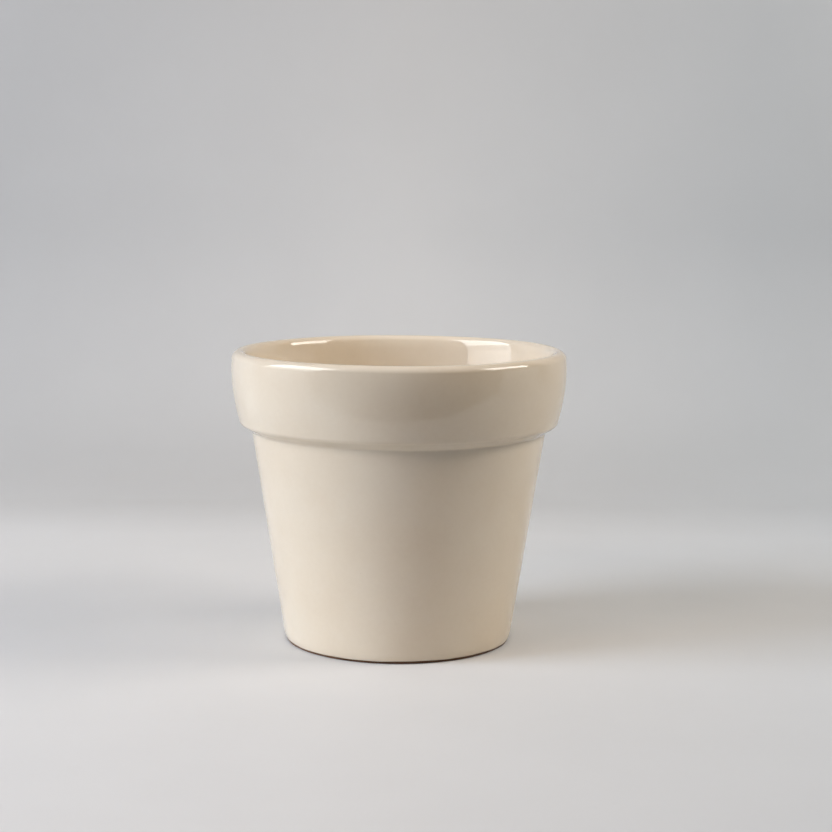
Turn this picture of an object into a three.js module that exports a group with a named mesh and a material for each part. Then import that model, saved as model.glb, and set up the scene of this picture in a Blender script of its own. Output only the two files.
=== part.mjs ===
// A glazed earthenware flower pot: a round tapered body with a deep rolled collar, a recessed
// underside on a bare foot ring, and one drain hole. Two materials make it up. The fired clay body is
// one piece from foot to rim. The glaze is a thin glass coat that wraps the outside, the rim, the inside
// wall and the inside floor, and stops just above the foot and just short of the drain hole.
//
// Frame: +Z up, origin on the ground at the centre of the foot. Millimetres.
import * as THREE from "three";

// Driving dimensions.
const HEIGHT = 131; // ground to the crest of the rim
const COLLAR_RADIUS = 75; // widest point of the collar
const FOOT_RADIUS = 50.4; // outside of the bare foot ring
const WALL = 5; // wall thickness of the body, clay and both coats of glaze
const GLAZE = 0.4; // thickness of the glaze
const SEGMENTS = 48; // facets round the axis, a multiple of four

// Rim and collar.
const CREST_RADIUS = 71.3; // circle along the top of the rim
const WIDEST_BELOW_CREST = 8.5;
const LIP_ROUND = 3.4; // outside edge of the crest
const LIP_LEAN = 6.7; // degrees off upright where that rounding starts
const RIM_EDGE = { round: 3, turn: 71 }; // inside edge of the crest: radius, and degrees turned
const RIM_FLARE = { round: 22.5, turn: 11 }; // the inside wall just below it
const COLLAR_CORNER = { r: 71.3, z: 98.3 }; // lower outer corner, before it is rounded
const COLLAR_CORNER_ROUND = 3.2;
const COLLAR_JOIN = { r: 66, z: 95.1 }; // where the underside of the collar meets the body
const COLLAR_JOIN_ROUND = 2;
const COLLAR_BULGE = 1.8; // power of the curve from the widest point down to the corner
const COLLAR_WALL = 6.9; // thickness of the collar at that corner

// Body and foot.
const BODY_BASE = { r: 51.5, z: 3.6 }; // where the straight side ends above the foot
const GLAZE_LINE_Z = 1.2; // lower edge of the glaze, above the ground
const FOOT_EDGE = 0.6; // bevel on each edge of the foot ring
const FOOT_RING_WIDTH = 9;
const RECESS_DEPTH = 3; // the underside inside the foot ring is this far off the ground
const RECESS_ROUND = 1.6;

// Inside.
const INNER_FLOOR_Z = 9;
const INNER_FLOOR_ROUND = 8;
const SHOULDER_RISE = 8; // the inside widens behind the collar over this height
const SHOULDER_ROUND = 7;

// Drain hole.
const DRAIN_RADIUS = 7;
const DRAIN_EDGE = 1; // bevel on each edge of the hole
const GLAZE_STOPS_FROM_DRAIN = 2.2; // bare ring round the hole, on the inside floor

const point = (r, z) => new THREE.Vector2(r, z);

// Points along an elliptical arc, both ends included. Angles are in degrees from +r towards +z.
function arc(centre, acrossRadius, upRadius, from, to, steps) {
  return Array.from({ length: steps + 1 }, (_, i) => {
    const angle = THREE.MathUtils.degToRad(from + ((to - from) * i) / steps);
    return point(centre.x + acrossRadius * Math.cos(angle), centre.y + upRadius * Math.sin(angle));
  });
}

// A corner between two straight lines, replaced by a tangent circular arc.
function rounded(before, corner, after, radius, steps) {
  const back = before.clone().sub(corner).normalize();
  const ahead = after.clone().sub(corner).normalize();
  const halfAngle = Math.acos(back.dot(ahead)) / 2;
  const halfway = back.clone().add(ahead).normalize();
  const centre = halfway.multiplyScalar(radius / Math.sin(halfAngle)).add(corner);
  const reach = radius / Math.tan(halfAngle);
  const start = back.multiplyScalar(reach).add(corner).sub(centre);
  const end = ahead.multiplyScalar(reach).add(corner).sub(centre);
  const turn = Math.atan2(start.cross(end), start.dot(end));
  return Array.from({ length: steps + 1 }, (_, i) =>
    start.clone().rotateAround(point(0, 0), (turn * i) / steps).add(centre),
  );
}

// The same line moved by a distance to the left of its own direction, with mitred corners.
function movedLeft(line, distance) {
  const leftOf = (a, b) => point(a.y - b.y, b.x - a.x).normalize();
  return line.map((p, i) => {
    const arriving = leftOf(line[Math.max(i - 1, 0)], line[Math.max(i, 1)]);
    const leaving = leftOf(line[Math.min(i, line.length - 2)], line[Math.min(i + 1, line.length - 1)]);
    const mitre = arriving.clone().add(leaving).divideScalar(1 + arriving.dot(leaving));
    return mitre.multiplyScalar(distance).add(p);
  });
}

// The outside of the glaze from its lower edge, up the body and the collar, to the crest of the rim.
function outsideLine() {
  const baseTop = point(BODY_BASE.r, BODY_BASE.z);
  const join = point(COLLAR_JOIN.r, COLLAR_JOIN.z);
  const corner = point(COLLAR_CORNER.r, COLLAR_CORNER.z);
  const widestZ = HEIGHT - WIDEST_BELOW_CREST;
  const glazeToe = point(FOOT_RADIUS + GLAZE, GLAZE_LINE_Z);
  const toeControl = point(FOOT_RADIUS + 2 * GLAZE, (GLAZE_LINE_Z + BODY_BASE.z) / 2);
  const toe = new THREE.QuadraticBezierCurve(glazeToe, toeControl, baseTop).getPoints(2);
  const bulge = (share) =>
    point(
      COLLAR_RADIUS - (COLLAR_RADIUS - COLLAR_CORNER.r) * share ** COLLAR_BULGE,
      widestZ - (widestZ - COLLAR_CORNER.z) * share,
    );
  const lip = arc(point(CREST_RADIUS, HEIGHT - LIP_ROUND), LIP_ROUND, LIP_ROUND, LIP_LEAN, 90, 6);
  const aboveWidest = (share) =>
    point(
      COLLAR_RADIUS - (COLLAR_RADIUS - lip[0].x) * share ** 2,
      widestZ + (lip[0].y - widestZ) * share,
    );
  return [
    ...toe,
    ...rounded(baseTop, join, corner, COLLAR_JOIN_ROUND, 3),
    ...rounded(join, corner, bulge(0.8), COLLAR_CORNER_ROUND, 5),
    bulge(0.55),
    bulge(0.27),
    point(COLLAR_RADIUS, widestZ),
    aboveWidest(0.5),
    ...lip,
  ];
}

// The inside of the glaze from just past the crest, down behind the collar, to the inside floor.
function insideLine() {
  const taper = (COLLAR_JOIN.r - BODY_BASE.r) / (COLLAR_JOIN.z - BODY_BASE.z);
  const wallRadius = (z) => BODY_BASE.r + taper * (z - BODY_BASE.z) - WALL;
  const edgeEnd = 90 + RIM_EDGE.turn;
  const edgeCentre = point(CREST_RADIUS, HEIGHT - RIM_EDGE.round);
  const edge = arc(edgeCentre, RIM_EDGE.round, RIM_EDGE.round, 90, edgeEnd, 4).slice(1);
  const flareCentre = point(RIM_EDGE.round - RIM_FLARE.round, 0)
    .rotateAround(point(0, 0), THREE.MathUtils.degToRad(edgeEnd))
    .add(edgeCentre);
  const rimEndTurn = edgeEnd + RIM_FLARE.turn;
  const flare = arc(flareCentre, RIM_FLARE.round, RIM_FLARE.round, edgeEnd, rimEndTurn, 2).slice(1);
  const rimEnd = flare[flare.length - 1];
  const shoulderTop = point(COLLAR_CORNER.r - COLLAR_WALL, COLLAR_CORNER.z + WALL);
  const shoulderBottom = point(wallRadius(shoulderTop.y - SHOULDER_RISE), shoulderTop.y - SHOULDER_RISE);
  const floorCorner = point(wallRadius(INNER_FLOOR_Z), INNER_FLOOR_Z);
  const floorEnd = point(DRAIN_RADIUS + GLAZE_STOPS_FROM_DRAIN, INNER_FLOOR_Z);
  return [
    ...edge,
    ...flare,
    ...rounded(rimEnd, shoulderTop, shoulderBottom, SHOULDER_ROUND, 3),
    ...rounded(shoulderTop, shoulderBottom, floorCorner, SHOULDER_ROUND, 3),
    ...rounded(shoulderBottom, floorCorner, floorEnd, INNER_FLOOR_ROUND, 4),
    floorEnd,
  ];
}

// The bare clay from the inside floor, through the drain hole, along the underside, to the foot's outside.
function bareClayLine() {
  const floorZ = INNER_FLOOR_Z - GLAZE;
  const ringInside = FOOT_RADIUS - FOOT_RING_WIDTH;
  const recessCorner = point(ringInside - RECESS_DEPTH, RECESS_DEPTH);
  return [
    point(DRAIN_RADIUS + DRAIN_EDGE, floorZ),
    point(DRAIN_RADIUS, floorZ - DRAIN_EDGE),
    point(DRAIN_RADIUS, RECESS_DEPTH + DRAIN_EDGE),
    point(DRAIN_RADIUS + DRAIN_EDGE, RECESS_DEPTH),
    ...rounded(point(DRAIN_RADIUS, RECESS_DEPTH), recessCorner, point(ringInside, 0), RECESS_ROUND, 2),
    point(ringInside, 0),
    point(FOOT_RADIUS - FOOT_EDGE, 0),
    point(FOOT_RADIUS, FOOT_EDGE),
  ];
}

// A solid of revolution about Z from a closed profile.
function turned(profile) {
  return new THREE.LatheGeometry([...profile, profile[0]], SEGMENTS).rotateX(Math.PI / 2);
}

// Every four-sided facet of a turned solid, split along its other diagonal.
function splitTheOtherWay(geometry) {
  const corners = geometry.getIndex().array;
  for (let i = 0; i < corners.length; i += 6) {
    const [a, b, d, c] = corners.slice(i, i + 4);
    corners.set([a, b, c, c, d, a], i);
  }
  return geometry;
}

const glazeSurface = [...outsideLine(), ...insideLine()];
const claySurface = movedLeft(glazeSurface, GLAZE);

function clayBody() {
  const firedClay = new THREE.MeshStandardMaterial({ color: "#aa7959", roughness: 0.9, metalness: 0 });
  const mesh = new THREE.Mesh(turned([...claySurface, ...bareClayLine()]), firedClay);
  mesh.name = "clay_body";
  return mesh;
}

// The coat is fused to the clay: the two share every point and every triangle of the clay surface.
function glazeCoat() {
  const creamGlaze = new THREE.MeshStandardMaterial({ color: "#e0d1bc", roughness: 0.12, metalness: 0 });
  const coat = splitTheOtherWay(turned([...glazeSurface, ...claySurface.toReversed()]));
  const mesh = new THREE.Mesh(coat, creamGlaze);
  mesh.name = "glaze_coat";
  return mesh;
}

const pot = new THREE.Group();
pot.add(clayBody(), glazeCoat());

export default pot;
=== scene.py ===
"""Looks for the glazed earthenware flower pot: cream glaze over red-brown clay, on a pale sweep."""

import math

import bpy
import numpy as np
from mathutils import Matrix, Vector


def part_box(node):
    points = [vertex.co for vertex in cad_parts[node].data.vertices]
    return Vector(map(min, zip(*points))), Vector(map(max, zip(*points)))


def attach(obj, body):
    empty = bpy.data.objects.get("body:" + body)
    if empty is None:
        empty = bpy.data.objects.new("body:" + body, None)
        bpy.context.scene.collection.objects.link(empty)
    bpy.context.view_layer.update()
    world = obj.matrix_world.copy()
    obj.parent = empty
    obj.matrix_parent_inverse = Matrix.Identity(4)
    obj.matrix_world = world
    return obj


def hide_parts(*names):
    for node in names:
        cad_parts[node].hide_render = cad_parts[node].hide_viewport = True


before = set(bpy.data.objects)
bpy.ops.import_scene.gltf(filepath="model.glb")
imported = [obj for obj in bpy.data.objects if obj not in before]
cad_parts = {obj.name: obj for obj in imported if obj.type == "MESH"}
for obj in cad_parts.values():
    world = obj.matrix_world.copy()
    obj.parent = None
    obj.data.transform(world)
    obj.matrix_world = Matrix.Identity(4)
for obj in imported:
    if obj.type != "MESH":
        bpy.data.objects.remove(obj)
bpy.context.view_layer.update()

MM = 0.001

# ---------------------------------------------------------------- dimensions, in millimetres

BODY_LOW, BODY_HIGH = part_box("clay_body")
GLAZE_LOW, GLAZE_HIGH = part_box("glaze_coat")
HEIGHT = GLAZE_HIGH.z / MM
COLLAR_RADIUS = GLAZE_HIGH.x / MM
GLAZE_LINE_Z = GLAZE_LOW.z / MM
GLAZE = COLLAR_RADIUS - BODY_HIGH.x / MM
FOOT_RADIUS = 50.4
WALL = 5.0

CREST_RADIUS = 71.3
WIDEST_BELOW_CREST = 8.5
LIP_ROUND, LIP_LEAN = 3.4, 6.7
RIM_EDGE_ROUND, RIM_EDGE_TURN = 3.0, 71
RIM_FLARE_ROUND, RIM_FLARE_TURN = 22.5, 11
COLLAR_CORNER = (71.3, 98.3)
COLLAR_CORNER_ROUND = 3.2
COLLAR_JOIN = (66.0, 95.1)
COLLAR_JOIN_ROUND = 2.0
COLLAR_BULGE = 1.8
COLLAR_WALL = 6.9
BODY_BASE = (51.5, 3.6)

FOOT_EDGE = 0.6
FOOT_RING_WIDTH = 9.0
RECESS_DEPTH = 3.0
RECESS_ROUND = 1.6
INNER_FLOOR_Z = 9.0
INNER_FLOOR_ROUND = 8.0
SHOULDER_RISE = 8.0
SHOULDER_ROUND = 7.0
DRAIN_RADIUS = 7.0
DRAIN_EDGE = 1.0
GLAZE_STOPS_FROM_DRAIN = 2.2

SEGMENTS = 288  # steps round the axis

# Hand-made irregularity, all of it inwards so the pot stays inside its own sizes.
OUT_OF_ROUND = 0.16
RIM_DIP = 0.6
RIM_LOWEST_AT = math.radians(-150)
GLAZE_EDGE_WANDER = 0.22

# ---------------------------------------------------------------- profile


def arc(centre, painted_shade_rightwards, up, start, end, steps):
    """Points on an elliptical arc, both ends included, angles in degrees from +r towards +z."""
    angles = np.radians(np.linspace(start, end, steps + 1))
    return np.column_stack([centre[0] + painted_shade_rightwards * np.cos(angles), centre[1] + up * np.sin(angles)])


def rounded(before, corner, after, radius, steps):
    """A corner between two straight lines, replaced by a tangent arc."""
    before, corner, after = (Vector(p) for p in (before, corner, after))
    back = (before - corner).normalized()
    ahead = (after - corner).normalized()
    half_angle = back.angle(ahead) / 2
    centre = corner + (back + ahead).normalized() * radius / math.sin(half_angle)
    reach = radius / math.tan(half_angle)
    start = corner + back * reach - centre
    end = corner + ahead * reach - centre
    turn = math.atan2(start.cross(end), start.dot(end))
    return np.array([centre + Matrix.Rotation(turn * i / steps, 2) @ start for i in range(steps + 1)])


def straight(start, end, steps):
    """Points inside a straight line, both ends left out."""
    shares = np.linspace(0, 1, steps + 1)[1:-1, None]
    return np.array(start) * (1 - shares) + np.array(end) * shares


def moved_left(line, distance):
    """The same line moved to the left of its own direction, with mitred corners."""
    step = np.diff(line, axis=0)
    left = np.column_stack([-step[:, 1], step[:, 0]]) / np.linalg.norm(step, axis=1)[:, None]
    arriving = np.vstack([left[:1], left])
    leaving = np.vstack([left, left[-1:]])
    spread = 1 + (arriving * leaving).sum(axis=1)
    return line + distance * (arriving + leaving) / spread[:, None]


def outside_line():
    """The glazed outside from its lower edge, up the body and the collar, to the crest of the rim."""
    widest_z = HEIGHT - WIDEST_BELOW_CREST
    toe = np.array([FOOT_RADIUS + GLAZE, GLAZE_LINE_Z])
    control = np.array([FOOT_RADIUS + 2 * GLAZE, (GLAZE_LINE_Z + BODY_BASE[1]) / 2])
    shares = np.linspace(0, 1, 9)[:, None]
    rest = 1 - shares
    foot = toe * rest**2 + control * 2 * shares * rest + np.array(BODY_BASE) * shares**2
    share = np.linspace(0.8, 0.03, 26)
    bulge = np.column_stack(
        [
            COLLAR_RADIUS - (COLLAR_RADIUS - COLLAR_CORNER[0]) * share**COLLAR_BULGE,
            widest_z - (widest_z - COLLAR_CORNER[1]) * share,
        ]
    )
    join = rounded(BODY_BASE, COLLAR_JOIN, COLLAR_CORNER, COLLAR_JOIN_ROUND, 12)
    corner = rounded(COLLAR_JOIN, COLLAR_CORNER, bulge[0], COLLAR_CORNER_ROUND, 18)
    lip = arc((CREST_RADIUS, HEIGHT - LIP_ROUND), LIP_ROUND, LIP_ROUND, LIP_LEAN, 90, 28)
    rise = np.linspace(0, 1, 11)[:-1]
    above_widest = np.column_stack(
        [
            COLLAR_RADIUS - (COLLAR_RADIUS - lip[0, 0]) * rise**2,
            widest_z + (lip[0, 1] - widest_z) * rise,
        ]
    )
    side = straight(foot[-1], join[0], 60)
    return np.vstack([foot, side, join, corner, bulge[1:], above_widest, lip])


def inside_line():
    """The glazed inside from just past the crest, down behind the collar, to the inside floor."""
    taper = (COLLAR_JOIN[0] - BODY_BASE[0]) / (COLLAR_JOIN[1] - BODY_BASE[1])

    def on_wall(z):
        return (BODY_BASE[0] + taper * (z - BODY_BASE[1]) - WALL, z)

    edge_end = 90 + RIM_EDGE_TURN
    flare_end = edge_end + RIM_FLARE_TURN
    edge_centre = Vector((CREST_RADIUS, HEIGHT - RIM_EDGE_ROUND))
    outwards = Matrix.Rotation(math.radians(edge_end), 2) @ Vector((1, 0))
    flare_centre = edge_centre + outwards * (RIM_EDGE_ROUND - RIM_FLARE_ROUND)
    edge = arc(edge_centre, RIM_EDGE_ROUND, RIM_EDGE_ROUND, 90, edge_end, 16)[1:]
    flare = arc(flare_centre, RIM_FLARE_ROUND, RIM_FLARE_ROUND, edge_end, flare_end, 10)[1:]
    lip = np.vstack([edge, flare])
    shoulder_top = (COLLAR_CORNER[0] - COLLAR_WALL, COLLAR_CORNER[1] + WALL)
    shoulder_bottom = on_wall(shoulder_top[1] - SHOULDER_RISE)
    floor_corner = on_wall(INNER_FLOOR_Z)
    floor_end = (DRAIN_RADIUS + GLAZE_STOPS_FROM_DRAIN, INNER_FLOOR_Z)
    upper = rounded(lip[-1], shoulder_top, shoulder_bottom, SHOULDER_ROUND, 10)
    lower = rounded(shoulder_top, shoulder_bottom, floor_corner, SHOULDER_ROUND, 10)
    corner = rounded(shoulder_bottom, floor_corner, floor_end, INNER_FLOOR_ROUND, 20)
    return np.vstack(
        [
            lip,
            straight(lip[-1], upper[0], 20),
            upper,
            lower,
            straight(lower[-1], corner[0], 50),
            corner,
            straight(corner[-1], floor_end, 16),
            [floor_end],
        ]
    )


def bare_clay_line():
    """The bare clay from the inside floor, through the drain hole, along the underside, to the foot."""
    hole_top = INNER_FLOOR_Z - GLAZE - DRAIN_EDGE
    hole_bottom = RECESS_DEPTH + DRAIN_EDGE
    hole_round = DRAIN_RADIUS + DRAIN_EDGE
    ring_inside = FOOT_RADIUS - FOOT_RING_WIDTH
    recess_corner = (ring_inside - RECESS_DEPTH, RECESS_DEPTH)
    hole_foot = (DRAIN_RADIUS, RECESS_DEPTH)
    recess = rounded(hole_foot, recess_corner, (ring_inside, 0), RECESS_ROUND, 8)
    ring = (ring_inside, 0)
    tread = (FOOT_RADIUS - FOOT_EDGE, 0)
    return np.vstack(
        [
            arc((hole_round, hole_top), DRAIN_EDGE, DRAIN_EDGE, 90, 180, 5),
            straight((DRAIN_RADIUS, hole_top), (DRAIN_RADIUS, hole_bottom), 4),
            arc((hole_round, hole_bottom), DRAIN_EDGE, DRAIN_EDGE, 180, 270, 5),
            straight((hole_round, RECESS_DEPTH), recess[0], 24),
            recess,
            straight(recess[-1], ring, 4),
            [ring],
            straight(ring, tread, 10),
            arc((tread[0], FOOT_EDGE), FOOT_EDGE, FOOT_EDGE, 270, 360, 5),
        ]
    )


# ---------------------------------------------------------------- meshes


def uneven(points):
    """Moves points slightly inwards and down, as drying and firing do: more towards the rim."""
    x, y, z = points.T
    radius = np.hypot(x, y)
    angle = np.arctan2(y, x)
    height = np.clip(z / HEIGHT, 0, 1)
    oval = (2 + np.cos(2 * angle - 0.7) + 0.5 * np.cos(3 * angle + 1.1)) / 3.5
    inwards = OUT_OF_ROUND * height * oval
    rim = np.clip((height - 0.7) / 0.3, 0, 1) ** 2
    down = RIM_DIP * rim * (5 + 5 * np.cos(angle - RIM_LOWEST_AT) + 1 + np.cos(5 * angle)) / 12
    low = np.clip((BODY_BASE[1] - z) / (BODY_BASE[1] - GLAZE_LINE_Z), 0, 1) * (z > FOOT_EDGE + 0.05)
    wander = np.sin(4 * angle + 0.6) + 0.7 * np.sin(9 * angle + 2.1) + 0.4 * np.sin(23 * angle)
    outer = radius > FOOT_RADIUS - 1
    lift = GLAZE_EDGE_WANDER * low * outer * wander / 2.1
    scale = (radius - inwards) / np.maximum(radius, 1e-6)
    return np.column_stack([x * scale, y * scale, z - down + lift])


def turned(name, profile, material):
    """A closed solid of revolution from a closed profile, as an object at the origin."""
    angles = np.linspace(0, 2 * math.pi, SEGMENTS, endpoint=False)
    r, z = profile[:, 0], profile[:, 1]
    points = np.column_stack(
        [
            np.outer(np.cos(angles), r).ravel(),
            np.outer(np.sin(angles), r).ravel(),
            np.tile(z, SEGMENTS),
        ]
    )
    count = len(profile)
    step, along = np.meshgrid(np.arange(SEGMENTS), np.arange(count), indexing="ij")
    next_along = (along + 1) % count
    here, there = step * count, (step + 1) % SEGMENTS * count
    corners = [here + along, there + along, there + next_along, here + next_along]
    faces = np.stack(corners, axis=-1).reshape(-1, 4)
    mesh = bpy.data.meshes.new(name)
    mesh.from_pydata((uneven(points) * MM).tolist(), [], faces.tolist())
    mesh.shade_smooth()
    mesh.materials.append(material)
    obj = bpy.data.objects.new(name, mesh)
    bpy.context.scene.collection.objects.link(obj)
    return obj


# ---------------------------------------------------------------- materials


class Shader:
    """A material's node tree, built by short calls."""

    def __init__(self, name):
        self.material = bpy.data.materials.new(name)
        self.material.use_nodes = True
        self.tree = self.material.node_tree
        self.surface = self.tree.nodes["Principled BSDF"]
        self.place = self.tree.nodes.new("ShaderNodeTexCoord").outputs["Object"]

    def node(self, kind, inputs=None, **settings):
        made = self.tree.nodes.new(kind)
        for key, value in settings.items():
            setattr(made, key, value)
        for key, value in (inputs or {}).items():
            self.put(made.inputs[key], value)
        return made

    def put(self, socket, value):
        if isinstance(value, bpy.types.NodeSocket):
            self.tree.links.new(value, socket)
        else:
            socket.default_value = value

    def noise(self, size_mm, detail=3.0, roughness=0.5):
        """Noise between 0 and 1 with features of about the given size."""
        inputs = {"Scale": 1 / (size_mm * MM), "Detail": detail, "Roughness": roughness}
        inputs["Vector"] = self.place
        return self.node("ShaderNodeTexNoise", inputs).outputs["Fac"]

    def spots(self, spacing_mm, size_share):
        """1 on round spots scattered at about the given spacing, 0 between them."""
        inputs = {"Vector": self.place, "Scale": 1 / (spacing_mm * MM)}
        cells = self.node("ShaderNodeTexVoronoi", inputs)
        return self.scaled(cells.outputs["Distance"], size_share, size_share * 0.4, 0, 1)

    def scaled(self, value, low, high, to_low, to_high):
        """value from low..high mapped to to_low..to_high, clamped."""
        inputs = {"Value": value, "From Min": low, "From Max": high}
        inputs.update({"To Min": to_low, "To Max": to_high})
        return self.node("ShaderNodeMapRange", inputs).outputs[0]

    def math(self, operation, a, b=0.0):
        return self.node("ShaderNodeMath", {0: a, 1: b}, operation=operation).outputs[0]

    def mix(self, share, a, b):
        """Colour a where share is 0, colour b where it is 1."""
        made = self.node("ShaderNodeMix", data_type="RGBA")
        self.put(made.inputs["Factor"], share)
        self.put(made.inputs[6], a)
        self.put(made.inputs[7], b)
        return made.outputs[2]

    def clear_from_behind(self):
        """Makes the back of a sheet clear, so that it hides nothing from a camera behind it."""
        from_behind = self.node("ShaderNodeNewGeometry").outputs["Backfacing"]
        clear = self.node("ShaderNodeBsdfTransparent").outputs[0]
        inputs = {0: from_behind, 1: self.surface.outputs[0], 2: clear}
        shown = self.node("ShaderNodeMixShader", inputs).outputs[0]
        self.put(self.tree.nodes["Material Output"].inputs["Surface"], shown)

    def bump(self, height, depth_mm, under=None):
        """A bumpy normal, laid over another one if under is given."""
        inputs = {"Height": height, "Distance": depth_mm * MM, "Strength": 1.0}
        made = self.node("ShaderNodeBump", inputs)
        if under is not None:
            self.put(made.inputs["Normal"], under)
        return made.outputs[0]


def rgb(red, green, blue):
    return (red, green, blue, 1.0)


CREAM = rgb(0.745, 0.645, 0.505)
WARM_CREAM = rgb(0.705, 0.585, 0.435)
PALE_CREAM = rgb(0.9, 0.83, 0.71)
SPECK_BROWN = rgb(0.34, 0.22, 0.12)
GLASS_IOR = 1.52

CLAY_DARK = rgb(0.36, 0.165, 0.088)
CLAY_LIGHT = rgb(0.44, 0.215, 0.12)
CLAY_GRAIN = rgb(0.52, 0.31, 0.2)
CLAY_GRIT = rgb(0.2, 0.1, 0.06)
# Painted shade: dark brown laid on the clay just above the ground, for the shadow under the foot.
FOOT_SHADE_BROWN = rgb(0.045, 0.028, 0.017)
FOOT_SHADE_FULL_BELOW, FOOT_SHADE_GONE_ABOVE = 0.8, 2.6

# Paper colours with painted shade: the near floor is painted brightest, and the tone falls away towards
# and up the backdrop.
PAPER_NEAR = rgb(0.685, 0.682, 0.675)
PAPER_MIDDLE = rgb(0.66, 0.655, 0.645)
PAPER_FAR = rgb(0.482, 0.478, 0.467)
# A painted pool of light on the backdrop behind the pot.
PAINTED_LIGHT_GAIN = 1.24
PAINTED_LIGHT_CENTRE = (0.0, 0.5, 0.16)
PAINTED_LIGHT_RADIUS = 0.30
# A painted cool tint of light towards the right.
PAINTED_COOL_LIGHT = rgb(0.95, 1.0, 1.05)


def glaze_material():
    """A glossy cream glass with slow shifts of tone, a faint mottle, a few specks, and pits."""
    s = Shader("cream_glaze")
    tone = s.mix(s.scaled(s.noise(34, 2), 0.35, 0.7, 0, 0.55), CREAM, WARM_CREAM)
    mottle = s.mix(s.scaled(s.noise(2.2, 4, 0.6), 0.3, 0.75, 0, 0.08), tone, PALE_CREAM)
    speckle = s.mix(s.math("MULTIPLY", s.spots(7.5, 0.03), 0.22), mottle, SPECK_BROWN)
    s.put(s.surface.inputs["Base Color"], speckle)
    s.put(s.surface.inputs["Roughness"], s.scaled(s.noise(9, 3), 0.3, 0.7, 0.02, 0.04))
    s.put(s.surface.inputs["IOR"], GLASS_IOR)
    swell = s.bump(s.noise(26, 1), 0.035)
    ripple = s.bump(s.noise(5, 2), 0.006, swell)
    pits = s.bump(s.math("SUBTRACT", 1.0, s.spots(11, 0.03)), 0.03, ripple)
    s.put(s.surface.inputs["Normal"], pits)
    return s.material


def clay_material():
    """Rough red-brown clay with grain and grit, darkened with painted shade where it stands on the
    ground.
    """
    s = Shader("fired_clay")
    tone = s.mix(s.scaled(s.noise(14, 3), 0.35, 0.7, 0, 1), CLAY_DARK, CLAY_LIGHT)
    grain = s.mix(s.scaled(s.noise(0.7, 4, 0.7), 0.4, 0.75, 0, 0.5), tone, CLAY_GRAIN)
    grit = s.mix(s.math("MULTIPLY", s.spots(2.6, 0.12), 0.6), grain, CLAY_GRIT)
    height = s.node("ShaderNodeSeparateXYZ", {"Vector": s.place}).outputs["Z"]
    # Painted shade near the ground, for the shadow under the foot's edge.
    near_ground = s.scaled(height, FOOT_SHADE_FULL_BELOW * MM, FOOT_SHADE_GONE_ABOVE * MM, 1, 0)
    foot_shade = s.math("MULTIPLY", near_ground, s.scaled(s.noise(9, 3), 0.3, 0.6, 0.72, 0.86))
    s.put(s.surface.inputs["Base Color"], s.mix(foot_shade, grit, FOOT_SHADE_BROWN))
    s.put(s.surface.inputs["Roughness"], s.scaled(s.noise(3, 3), 0.3, 0.7, 0.8, 0.95))
    s.put(s.surface.inputs["Specular IOR Level"], 0.3)
    lumps = s.bump(s.noise(1.2, 3, 0.6), 0.12)
    s.put(s.surface.inputs["Normal"], s.bump(s.noise(0.35, 3, 0.6), 0.05, lumps))
    return s.material


def paper_material():
    """Paper with painted shade that darkens it behind the pot and to the right, a painted cool tint of
    light to the right, and a painted pool of light on the backdrop behind the pot.
    """
    s = Shader("sweep_paper")
    axes = s.node("ShaderNodeSeparateXYZ", {"Vector": s.place}).outputs
    right, depth = axes["X"], axes["Y"]
    # Painted shade: darker from the near floor to the middle, and darker again up the backdrop.
    floor = s.mix(s.scaled(depth, -0.02, 0.10, 0, 1), PAPER_NEAR, PAPER_MIDDLE)
    tone = s.mix(s.scaled(depth, 0.23, 0.41, 0, 1), floor, PAPER_FAR)
    # Painted pool of light: the paper is made brighter round a point on the backdrop behind the pot.
    away = s.node("ShaderNodeVectorMath", {0: s.place, 1: PAINTED_LIGHT_CENTRE}, operation="DISTANCE")
    near_painted_light = s.scaled(away.outputs["Value"], 0.0, PAINTED_LIGHT_RADIUS, 1, 0)
    painted_light_share = s.math("MULTIPLY", near_painted_light, s.scaled(depth, 0.3, 0.45, 0, 1))
    with_painted_light = s.mix(painted_light_share, tone, rgb(*(PAINTED_LIGHT_GAIN * c for c in PAPER_FAR[:3])))
    # Painted shade darkening the paper towards the right; the noise is the paper's own random tone.
    painted_shade_rightwards = s.scaled(right, -0.03, 0.26, 1.0, s.scaled(depth, 0.23, 0.41, 0.81, 0.92))
    patchy_and_painted_shade = s.math("MULTIPLY", s.scaled(s.noise(60, 3), 0.35, 0.65, 1.0, 0.985), painted_shade_rightwards)
    spread = s.node("ShaderNodeVectorMath", {0: with_painted_light, "Scale": patchy_and_painted_shade}, operation="SCALE")
    # Painted cool light: the paper is tinted cooler towards the right.
    painted_cool_light_share = s.mix(s.scaled(right, 0.0, 0.26, 0, 1), rgb(1, 1, 1), PAINTED_COOL_LIGHT)
    inputs = {0: spread.outputs["Vector"], 1: painted_cool_light_share}
    with_painted_cool_light = s.node("ShaderNodeVectorMath", inputs, operation="MULTIPLY").outputs["Vector"]
    s.put(s.surface.inputs["Base Color"], with_painted_cool_light)
    s.put(s.surface.inputs["Roughness"], s.scaled(s.noise(20, 3), 0.3, 0.7, 0.72, 0.85))
    s.put(s.surface.inputs["Specular IOR Level"], 0.08)
    s.put(s.surface.inputs["Normal"], s.bump(s.noise(1.2, 3, 0.6), 0.03))
    s.clear_from_behind()
    return s.material


# ---------------------------------------------------------------- the pot

glaze_surface = np.vstack([outside_line(), inside_line()])
clay_surface = moved_left(glaze_surface, GLAZE)

clay = turned("fired_clay_pot", np.vstack([clay_surface, bare_clay_line()]), clay_material())
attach(clay, "root")
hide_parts("clay_body")

glaze = turned("glaze", np.vstack([glaze_surface, clay_surface[::-1]]), glaze_material())
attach(glaze, "root")
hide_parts("glaze_coat")

# ---------------------------------------------------------------- stage

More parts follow.
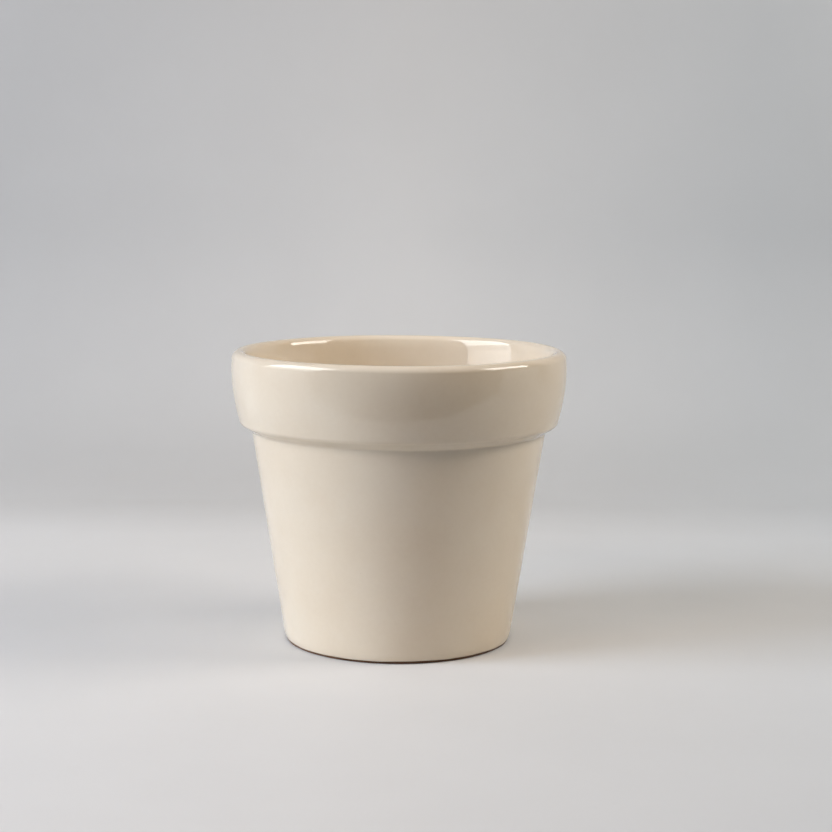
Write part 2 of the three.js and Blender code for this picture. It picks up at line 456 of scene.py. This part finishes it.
TABLE_FRONT = -0.267
TABLE_LEFT, TABLE_RIGHT = -0.36, 0.5
SWEEP_START = 0.33
SWEEP_RADIUS = 0.17
BACKDROP_HALF_WIDTH = 1.6
BACKDROP_TOP = 1.3


def sweep():
    """A pale table top that turns up into a backdrop behind the pot."""
    bend = arc((SWEEP_START, SWEEP_RADIUS), SWEEP_RADIUS, SWEEP_RADIUS, -90, 0, 16)
    line = np.vstack([[[TABLE_FRONT, 0]], bend, [[SWEEP_START + SWEEP_RADIUS, BACKDROP_TOP]]])
    on_table = line[:, 0] <= SWEEP_START
    left = np.where(on_table, TABLE_LEFT, -BACKDROP_HALF_WIDTH)
    right = np.where(on_table, TABLE_RIGHT, BACKDROP_HALF_WIDTH)
    points = [(x, y, z) for ends, (y, z) in zip(zip(left, right), line) for x in ends]
    faces = [(2 * i, 2 * i + 1, 2 * i + 3, 2 * i + 2) for i in range(len(line) - 1)]
    mesh = bpy.data.meshes.new("sweep")
    mesh.from_pydata(points, [], faces)
    mesh.shade_smooth()
    mesh.materials.append(paper_material())
    obj = bpy.data.objects.new("sweep", mesh)
    bpy.context.scene.collection.objects.link(obj)
    return obj


sweep()


LIGHTS_AIM_AT = Vector((0, 0, 0.9 * HEIGHT * MM))


def softbox(name, azimuth, elevation, distance, size, radiance, colour, faces=None, only=None):
    """A rectangular light, width by height, set at an angle round the pot and turned to face it.

    Azimuth runs from the front (-Y) towards +X, in degrees. faces is the azimuth the light is turned
    to face away from, when that is not its own azimuth. only="wash" lights surfaces without showing in
    the glaze, and only="shine" shows in the glaze without lighting surfaces.
    """

    def direction(az):
        level = math.cos(math.radians(elevation))
        az = math.radians(az)
        return Vector((math.sin(az) * level, -math.cos(az) * level, math.sin(math.radians(elevation))))

    light = bpy.data.lights.new(name, "AREA")
    light.shape = "RECTANGLE"
    light.size, light.size_y = size
    light.energy = radiance * math.pi * light.size * light.size_y
    light.color = colour
    obj = bpy.data.objects.new(name, light)
    obj.location = LIGHTS_AIM_AT + direction(azimuth) * distance
    turned_to = direction(azimuth if faces is None else faces)
    obj.rotation_euler = turned_to.to_track_quat("Z", "Y").to_euler()
    obj.visible_glossy = only != "wash"
    obj.visible_diffuse = only != "shine"
    bpy.context.scene.collection.objects.link(obj)


softbox("key", -72, 19, 1.35, (0.62, 1.09), 8.9, (0.9, 1.0, 1.16), only="wash")
softbox("key_wing", -43, 37, 1.6, (0.42, 0.49), 5.0, (1.32, 1.0, 0.76), only="wash")
softbox("key_shine_high", -79, 37, 1.6, (1.25, 0.84), 8.0, (0.98, 1.0, 1.0), only="shine")
softbox("key_shine_low", -79, 14, 1.6, (1.25, 0.5), 2.8, (0.98, 1.0, 1.0), only="shine")
softbox("left_wall", -97, -12, 1.9, (2.75, 1.7), 0.9, (1.0, 1.0, 1.0), only="shine")
softbox("right_wall", 102, -12, 1.9, (2.2, 1.7), 0.6, (1.0, 1.0, 1.0), only="shine")
softbox("side", 88, 32.7, 0.93, (0.59, 0.3), 10.1, (1.07, 1.0, 0.93), faces=54)
softbox("top", 0, 75, 1.5, (0.9, 0.9), 1.42, (1.1, 1.0, 0.88), only="wash")


def hood(radiance, dark_below, full_above, room):
    """A white hood over the set, dark at table level and bright overhead, that shows only in the glaze.

    room is the plain tone that stands beyond the sweep in its place.
    """
    world = bpy.data.worlds.new("hood")
    world.use_nodes = True
    tree = world.node_tree
    white = tree.nodes["Background"]
    direction = tree.nodes.new("ShaderNodeTexCoord").outputs["Generated"]
    split = tree.nodes.new("ShaderNodeSeparateXYZ")
    ramp = tree.nodes.new("ShaderNodeMapRange")
    ramp.interpolation_type = "SMOOTHSTEP"
    ramp.inputs["From Min"].default_value = math.sin(math.radians(dark_below))
    ramp.inputs["From Max"].default_value = math.sin(math.radians(full_above))
    ramp.inputs["To Max"].default_value = radiance
    tree.links.new(direction, split.inputs[0])
    tree.links.new(split.outputs["Z"], ramp.inputs["Value"])
    tree.links.new(ramp.outputs[0], white.inputs["Strength"])
    white.inputs["Color"].default_value = rgb(1.0, 0.97, 0.93)
    plain = tree.nodes.new("ShaderNodeBackground")
    plain.inputs["Color"].default_value = room
    seen = tree.nodes.new("ShaderNodeMixShader")
    looked_at = tree.nodes.new("ShaderNodeLightPath").outputs["Is Camera Ray"]
    tree.links.new(looked_at, seen.inputs[0])
    tree.links.new(white.outputs[0], seen.inputs[1])
    tree.links.new(plain.outputs[0], seen.inputs[2])
    tree.links.new(seen.outputs[0], tree.nodes["World Output"].inputs["Surface"])
    world.cycles_visibility.diffuse = False
    bpy.context.scene.world = world


hood(1.5, 20, 60, rgb(0.5, 0.5, 0.49))
bpy.context.scene.view_settings.view_transform = "Standard"

# ---------------------------------------------------------------- camera

CAMERA_AT = (0.0077, -0.802, 0.207)
CAMERA_LOOKS_DOWN = math.radians(7.55)
CAMERA_ROLL = math.radians(0.45)

camera_data = bpy.data.cameras.new("camera")
camera_data.sensor_width = 36
camera_data.lens = 78.0
camera = bpy.data.objects.new("camera", camera_data)
camera.matrix_world = (
    Matrix.Translation(CAMERA_AT)
    @ Matrix.Rotation(math.radians(90) - CAMERA_LOOKS_DOWN, 4, "X")
    @ Matrix.Rotation(CAMERA_ROLL, 4, "Z")
)
bpy.context.scene.collection.objects.link(camera)
bpy.context.scene.camera = camera
